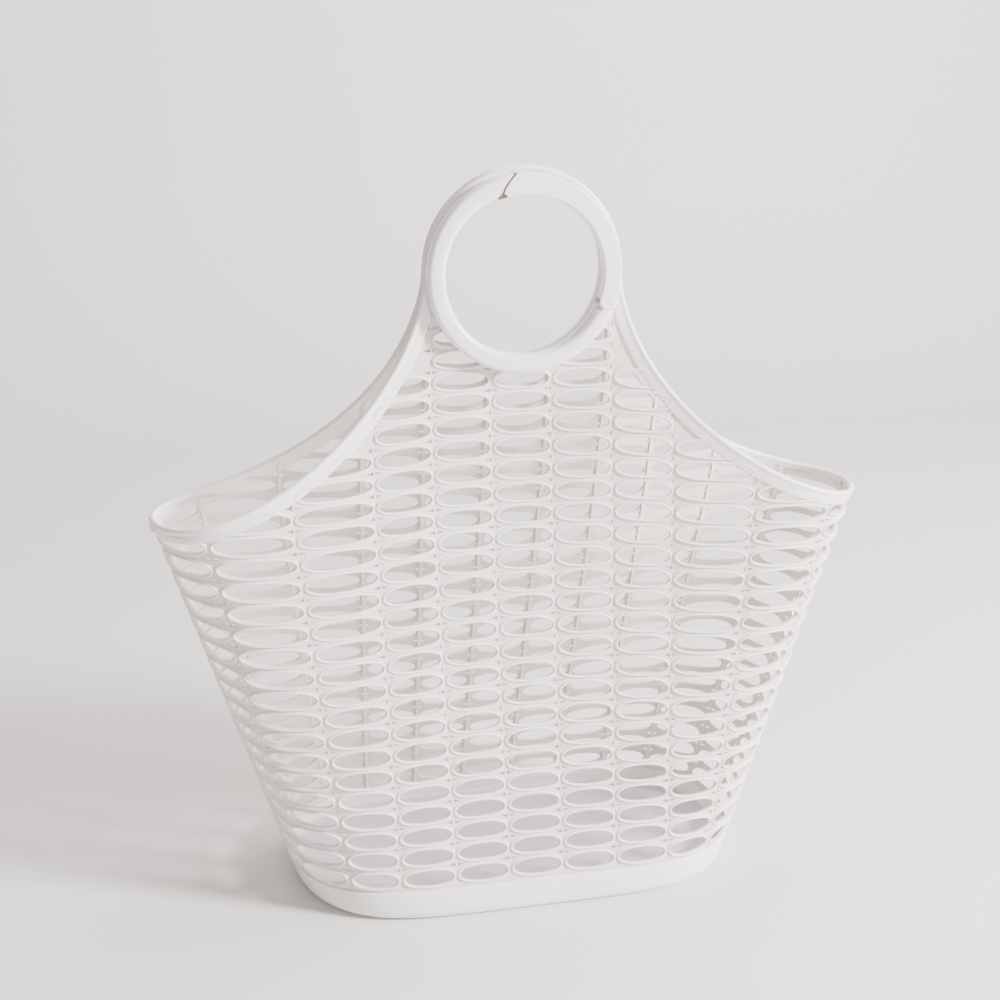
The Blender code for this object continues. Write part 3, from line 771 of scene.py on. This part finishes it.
def fixed_outline(inner, outer, round_end, open_seam):
    """Outline of the fixed arc at one depth, from its hinge end round to the seam and back."""
    end = hinge_round(inner, outer, 1.0) if round_end else hinge_hollow(inner, outer, -1.0)
    if not round_end:
        angle = direction(end[0]) - HINGE_NOTCH_ANGLE
        start = np.array([(inner + FIXED_SETBACK) * f(angle) for f in (math.cos, math.sin)])
        last = np.array(end[HINGE_NOTCH_STEPS])
        for i in range(HINGE_NOTCH_STEPS):
            end[i] = tuple(start + (last - start) * (i / HINGE_NOTCH_STEPS) ** HINGE_NOTCH_POWER)
    end = end[::-1]
    seam = seam_points(inner, outer, 0.0, NOTCH_FIXED_SIDE if open_seam else 0.0)
    full_turn = 2.0 * math.pi
    setback = 0.0 if round_end else FIXED_SETBACK
    inside = []
    first = direction(end[-1]) + full_turn
    for share in np.linspace(0.0, 1.0, FIXED_STEPS + 1):
        angle = first + (direction(seam[-1]) - first) * share
        radius = inner + setback * (1.0 - smooth_step(share, 0.0, FIXED_SETBACK_REACH))
        inside.append((radius * math.cos(angle), radius * math.sin(angle)))
    outside = arc_points(outer, direction(seam[0]), direction(end[0]) + full_turn, FIXED_STEPS)
    return end[:-1] + inside[:-1] + seam[::-1][:-1] + outside[:-1]


def rounded_levels(face, edge, toward, count=6):
    """Depths and insets from a flat face round to the full outline."""
    levels = []
    for i in range(count + 1):
        a = math.pi / 2.0 * i / count
        levels.append((face + toward * edge * (1.0 - math.cos(a)), edge * (1.0 - math.sin(a))))
    return levels


def ring_part(outline, front_is_round, front_edge, back_edge):
    """Points and faces of a part of the front ring whose two layers end differently.

    A level is a depth, an inset, whether its hinge end is round and whether the seam is open.
    """
    front_y, rear_y = front_low.y, front_high.y
    middle = (rear_y + front_y) / 2.0
    side = -1.0 if front_is_round else 1.0
    step = middle + side * CLASP_GAP / 2.0
    hollow = step - side * CLASP_STEP_SLOPE
    front_step, rear_step = (step, hollow) if front_is_round else (hollow, step)
    levels = [(y, inset, front_is_round, True)
              for y, inset in rounded_levels(front_y, front_edge, 1.0)]
    ledge = max(front_y + SEAM_DEPTH, levels[-1][0] + SEAM_LEDGE_STEP)
    levels += [(ledge, 0.0, front_is_round, True),
               (ledge + SEAM_LEDGE_STEP, 0.0, front_is_round, False),
               (front_step, 0.0, front_is_round, False),
               (rear_step, 0.0, not front_is_round, False)]
    levels += [(y, inset, not front_is_round, False)
               for y, inset in rounded_levels(rear_y, back_edge, -1.0)[::-1]]
    rings = []
    for y, inset, is_round, open_seam in levels:
        line = outline(RING_INNER + inset, RING_OUTER - inset, is_round, open_seam)
        rings.append([(FRONT_CENTRE[0] + x, y, FRONT_CENTRE[1] + z) for x, z in line])
    return np.concatenate(rings), capped_faces(len(rings), len(rings[0]))


def shade_seam(piece):
    """Give the small faces inside the seam, and in the notch at the hinge, a dark brown plastic that
    is painted shade.
    """
    piece.data.materials.append(painted_shade_seam_plastic)
    pin_x, pin_z = clasp_hinge()
    for polygon in piece.data.polygons:
        x, z = polygon.center.x - FRONT_CENTRE[0], polygon.center.z - FRONT_CENTRE[1]
        radius, angle = math.hypot(x, z), math.atan2(z, x)
        share = seam_share(radius)
        opening = notch_opening(share)
        first = seam_angle(share) - (SEAM_GAP + NOTCH_CLASP_SIDE * opening + SEAM_EDGE) / radius
        last = seam_angle(share) + (NOTCH_FIXED_SIDE * opening + SEAM_EDGE) / radius
        near_pin = math.hypot(x - pin_x, z - pin_z) < HINGE_NOTCH_REACH and angle < HINGE_ANGLE
        on_inside = radius < RING_INNER + HINGE_NOTCH_WIDTH and abs(polygon.normal.y) < 0.5
        in_seam = first < angle < last
        # Faces in the seam gap and the hinge notch take the dark brown plastic: painted shade
        if (in_seam or near_pin and on_inside) and polygon.area < SEAM_FACE_AREA:
            polygon.material_index = 1


# The tray


def tray_ring(height, rise):
    columns = np.linspace(-BACK_MIDDLE, BACK_MIDDLE, TRAY_POINTS, endpoint=False)
    ring = surface(columns, np.full(TRAY_POINTS, max(height, 0.0)), rise)
    ring[:, 2] = height
    return ring


def tray():
    """The tray: a rounded bottom edge, a smooth side and a slightly proud top edge."""
    inside = TRAY_PROUD - TRAY_WALL
    rings = []
    for angle in np.radians(np.linspace(90.0, 0.0, 9)):
        rings.append(tray_ring(TRAY_BOTTOM_ROUND * (1.0 - math.sin(angle)),
                               TRAY_PROUD - TRAY_BOTTOM_ROUND * (1.0 - math.cos(angle))))
    rings.append(tray_ring(TRAY_HEIGHT - TRAY_LIP, TRAY_PROUD))
    rings.append(tray_ring(TRAY_HEIGHT - 0.3 * TRAY_LIP, TRAY_PROUD - 0.3 * TRAY_LIP))
    rings.append(tray_ring(TRAY_HEIGHT, TRAY_PROUD - 0.9 * TRAY_LIP))
    rings.append(tray_ring(TRAY_HEIGHT, inside + 0.8 * TRAY_LIP))
    rings.append(tray_ring(TRAY_HEIGHT - 0.8 * TRAY_LIP, inside))
    for angle in np.radians(np.linspace(0.0, 90.0, 7)):
        rings.append(tray_ring(TRAY_FLOOR_TOP + TRAY_INSIDE_ROUND * (1.0 - math.sin(angle)),
                               inside - TRAY_INSIDE_ROUND * (1.0 - math.cos(angle))))
    return np.concatenate(rings), capped_faces(len(rings), TRAY_POINTS)


# Materials

RAMP_ENDS = (0.3, 0.7)
MOTTLE_DETAIL = 5.0
ROUGHNESS_SPREAD = (-0.06, 0.08)
GRAIN_SCALE = 420.0
GRAIN_DETAIL = 3.0
GRAIN_DEPTH = 0.4 * MM
PLASTIC_IOR = 1.49
COAT_ROUGHNESS = 0.12
GLOW_RADIUS = (1.0, 0.9, 0.75)
GLOW_DEPTH = 3.0 * MM


def plastic(name, color, shade, roughness, mottle_scale, grain, coat=0.0, glow=0.0):
    """Moulded plastic: soft mottling of colour and gloss, and a fine grain in the surface."""
    material = bpy.data.materials.new(name)
    material.use_nodes = True
    nodes, links = material.node_tree.nodes, material.node_tree.links
    shader = nodes["Principled BSDF"]
    place = nodes.new("ShaderNodeTexCoord")
    mottle = nodes.new("ShaderNodeTexNoise")
    mottle.inputs["Scale"].default_value = mottle_scale
    mottle.inputs["Detail"].default_value = MOTTLE_DETAIL
    links.new(place.outputs["Object"], mottle.inputs["Vector"])
    ramp = nodes.new("ShaderNodeValToRGB")
    for element, position, tone in zip(ramp.color_ramp.elements, RAMP_ENDS, (shade, color)):
        element.position = position
        element.color = (*tone, 1.0)
    links.new(mottle.outputs["Fac"], ramp.inputs["Fac"])
    links.new(ramp.outputs["Color"], shader.inputs["Base Color"])
    gloss = nodes.new("ShaderNodeMapRange")
    gloss.inputs["To Min"].default_value = roughness + ROUGHNESS_SPREAD[0]
    gloss.inputs["To Max"].default_value = roughness + ROUGHNESS_SPREAD[1]
    links.new(mottle.outputs["Fac"], gloss.inputs["Value"])
    links.new(gloss.outputs["Result"], shader.inputs["Roughness"])
    fine = nodes.new("ShaderNodeTexNoise")
    fine.inputs["Scale"].default_value = GRAIN_SCALE
    fine.inputs["Detail"].default_value = GRAIN_DETAIL
    links.new(place.outputs["Object"], fine.inputs["Vector"])
    bump = nodes.new("ShaderNodeBump")
    bump.inputs["Strength"].default_value = grain
    bump.inputs["Distance"].default_value = GRAIN_DEPTH
    links.new(fine.outputs["Fac"], bump.inputs["Height"])
    links.new(bump.outputs["Normal"], shader.inputs["Normal"])
    shader.inputs["IOR"].default_value = PLASTIC_IOR
    shader.inputs["Coat Weight"].default_value = coat
    shader.inputs["Coat Roughness"].default_value = COAT_ROUGHNESS
    shader.inputs["Subsurface Weight"].default_value = glow
    shader.inputs["Subsurface Radius"].default_value = GLOW_RADIUS
    shader.inputs["Subsurface Scale"].default_value = GLOW_DEPTH
    return material


lattice_plastic = plastic("lattice_plastic", (0.91, 0.875, 0.86), (0.87, 0.83, 0.81),
                          0.36, 28.0, 0.12, glow=0.25)
# Darker, warmer plastic between the beads, inside the openings and on the walls' back: painted shade
painted_shade_plastic = plastic("painted_shade_plastic", (0.79, 0.735, 0.705), (0.73, 0.67, 0.635),
                         0.42, 28.0, 0.12, glow=0.2)
rim_plastic = plastic("rim_plastic", (0.91, 0.88, 0.865), (0.87, 0.83, 0.81),
                      0.30, 16.0, 0.10, glow=0.2)
grip_plastic = plastic("grip_plastic", (0.93, 0.88, 0.935), (0.89, 0.84, 0.89),
                       0.22, 14.0, 0.06, coat=0.2, glow=0.1)
tray_plastic = plastic("tray_plastic", (0.90, 0.885, 0.86), (0.86, 0.84, 0.81),
                       0.34, 12.0, 0.10, glow=0.15)
# Darker lilac-grey for the tray's inside floor, seen through the openings: painted shade
painted_shade_floor_plastic = plastic("painted_shade_floor_plastic", (0.70, 0.63, 0.69), (0.66, 0.59, 0.645),
                             0.45, 12.0, 0.10)
# Dark brown for the seam gap and the hinge notch: painted shade
painted_shade_seam_plastic = plastic("painted_shade_seam_plastic", (0.36, 0.29, 0.25), (0.26, 0.20, 0.17), 0.6, 90.0, 0.2)
pin_plastic = plastic("pin_plastic", (0.80, 0.79, 0.80), (0.72, 0.71, 0.72), 0.4, 60.0, 0.2)


# The pieces

front_points, front_faces, front_painted_shade = lattice_wall(
    range(-3, 4), np.arange(-3.5, 4.0), FRONT_ROWS, clamp_front)
end_points, end_faces, end_painted_shade = lattice_wall(range(4, 8), (4.5, 5.5, 6.5), END_ROWS, clamp_end)
rim_points, rim_faces = front_rim_band()
bottom_arc = loop_arc(math.pi, 2.0 * math.pi, LOOP_OUTER - LOOP_UNDERSIDE_INSET,
                      LOOP_INNER + LOOP_UNDERSIDE_INSET, -LOOP_MIDDLE,
                      LOOP_UNDERSIDE_HALF_THICKNESS, LOOP_UNDERSIDE_EDGE, RING_CENTRE)

for name, back in (("front", False), ("back", True)):
    shapes = {
        "wall_lattice": (front_points, front_faces, lattice_plastic, "lattice_white",
                         [f"{name}_lattice", f"{name}_handle_lattice"]),
        "rim_band": (rim_points, rim_faces, rim_plastic, "rim_white",
                     [f"{name}_rim_left", f"{name}_rim_right"]),
        "loop_underside": (*bottom_arc, rim_plastic, "rim_white", [f"{name}_loop"]),
    }
    for part, (points, faces, material, slot, stands_for) in shapes.items():
        if back:
            points, faces = mirrored(points, faces, 1)
        # The wall lattice's recess faces take the darker plastic: painted shade
        painted_shade = front_painted_shade if part == "wall_lattice" else None
        piece = make_piece(f"{name}_{part}", points, faces, material, painted_shade=painted_shade)
        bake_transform(piece)
        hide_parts(*stands_for)
        if part == "rim_band" and not back:
            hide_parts("left_end_rim", "right_end_rim")

for name, left in (("right", False), ("left", True)):
    points, faces = mirrored(end_points, end_faces, 0) if left else (end_points, end_faces)
    # The end wall's recess faces take the darker plastic: painted shade
    piece = make_piece(f"{name}_end_wall", points, faces, lattice_plastic, painted_shade=end_painted_shade)
    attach(piece, "basket")
    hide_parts(f"{name}_end_lattice")

tray_piece = make_piece("tray_moulding", *tray(), tray_plastic, smooth_angle=50.0)
# The tray's upward faces inside, low down, take the darker lilac-grey plastic: painted shade
tray_piece.data.materials.append(painted_shade_floor_plastic)
for polygon in tray_piece.data.polygons:
    if polygon.normal.z > 0.5 and polygon.center.z < TRAY_HEIGHT / 2.0:
        polygon.material_index = 1
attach(tray_piece, "basket")
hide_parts("base_tray")

fixed_arc = ring_part(fixed_outline, False, FIXED_FRONT_EDGE, FIXED_BACK_EDGE)
fixed_piece = make_piece("front_ring_fixed_arc", *fixed_arc, grip_plastic, smooth_angle=40.0)
shade_seam(fixed_piece)
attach(fixed_piece, "front_handle")
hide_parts("front_grip_ring")

clasp_arc = ring_part(clasp_outline, True, CLASP_FRONT_EDGE, CLASP_BACK_EDGE)
clasp_piece = make_piece("front_ring_clasp_arc", *clasp_arc, grip_plastic, smooth_angle=40.0)
shade_seam(clasp_piece)
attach(clasp_piece, "front_clasp")
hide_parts("clasp_arc")

back_ring = loop_arc(0.0, 2.0 * math.pi, RING_OUTER, BACK_RING_INNER,
                     (back_low.y + back_high.y) / 2.0, (back_high.y - back_low.y) / 2.0,
                     BACK_RING_EDGE, BACK_CENTRE)
back_piece = make_piece("back_ring", *back_ring, grip_plastic, smooth_angle=40.0)
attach(back_piece, "back_handle")
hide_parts("back_grip_ring")

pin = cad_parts["clasp_pin"]
pin.data.materials.clear()
pin.data.materials.append(pin_plastic)


# Floor, lights and camera

LIGHT_TARGET = (0.0, 0.0, 0.2)
SKY_COLOR = (1.0, 0.945, 0.925, 1.0)
SKY_STRENGTH = 0.42


def backdrop():
    """A pale floor that curves up into a wall well behind the basket."""
    material = bpy.data.materials.new("pale_floor")
    material.use_nodes = True
    nodes, links = material.node_tree.nodes, material.node_tree.links
    shader = nodes["Principled BSDF"]
    shader.inputs["Roughness"].default_value = 0.7
    cloud = nodes.new("ShaderNodeTexNoise")
    cloud.inputs["Scale"].default_value = 2.0
    ramp = nodes.new("ShaderNodeValToRGB")
    ramp.color_ramp.elements[0].color = (0.74, 0.72, 0.70, 1.0)
    ramp.color_ramp.elements[1].color = (0.78, 0.76, 0.74, 1.0)
    links.new(cloud.outputs["Fac"], ramp.inputs["Fac"])
    links.new(ramp.outputs["Color"], shader.inputs["Base Color"])
    bend, back, tall, front, half_width, steps = 0.35, 1.3, 2.2, -3.0, 3.5, 12
    line = [(front, 0.0), (back - bend, 0.0)]
    for i in range(1, steps + 1):
        a = math.pi / 2.0 * i / steps
        line.append((back - bend + bend * math.sin(a), bend * (1.0 - math.cos(a))))
    line.append((back, tall))
    points = [(x, y, z) for y, z in line for x in (-half_width, half_width)]
    faces = [(2 * i, 2 * i + 1, 2 * i + 3, 2 * i + 2) for i in range(len(line) - 1)]
    piece = make_piece("floor_sweep", points, faces, material, smooth_angle=60.0)


def area_light(name, place, size, power, color):
    """A round soft light aimed at the middle of the basket; its power is in watts."""
    data = bpy.data.lights.new(name, "AREA")
    data.shape = "DISK"
    data.size = size
    data.energy = power
    data.color = color
    light = bpy.data.objects.new(name, data)
    light.location = place
    light.rotation_euler = (Vector(LIGHT_TARGET) - Vector(place)).to_track_quat("-Z", "Y").to_euler()
    bpy.context.scene.collection.objects.link(light)


def camera():
    yaw, pitch, roll = CAMERA_YAW, CAMERA_PITCH, CAMERA_ROLL
    ahead = Vector((math.sin(yaw) * math.cos(pitch), math.cos(yaw) * math.cos(pitch),
                    -math.sin(pitch)))
    level = Vector((math.cos(yaw), -math.sin(yaw), 0.0))
    down = ahead.cross(level)
    right = math.cos(roll) * level + math.sin(roll) * down
    below = -math.sin(roll) * level + math.cos(roll) * down
    data = bpy.data.cameras.new("camera")
    data.sensor_width = SENSOR_MM
    data.lens = LENS_MM
    data.clip_start = 0.05
    item = bpy.data.objects.new("camera", data)
    turn = Matrix((right, -below, -ahead)).transposed()
    item.matrix_world = Matrix.Translation(CAMERA_PLACE) @ turn.to_4x4()
    bpy.context.scene.collection.objects.link(item)
    bpy.context.scene.camera = item


backdrop()
area_light("key_light", (1.5, -0.9, 1.05), size=0.45, power=145.0, color=(1.0, 0.965, 0.96))
area_light("front_light", (0.1, -1.9, 0.9), size=1.0, power=10.0, color=(1.0, 0.955, 0.985))
area_light("top_light", (0.3, 0.3, 1.7), size=0.9, power=22.0, color=(1.0, 0.955, 0.94))
world = bpy.data.worlds.new("studio")
world.use_nodes = True
world.node_tree.nodes["Background"].inputs["Color"].default_value = SKY_COLOR
world.node_tree.nodes["Background"].inputs["Strength"].default_value = SKY_STRENGTH
bpy.context.scene.world = world
camera()
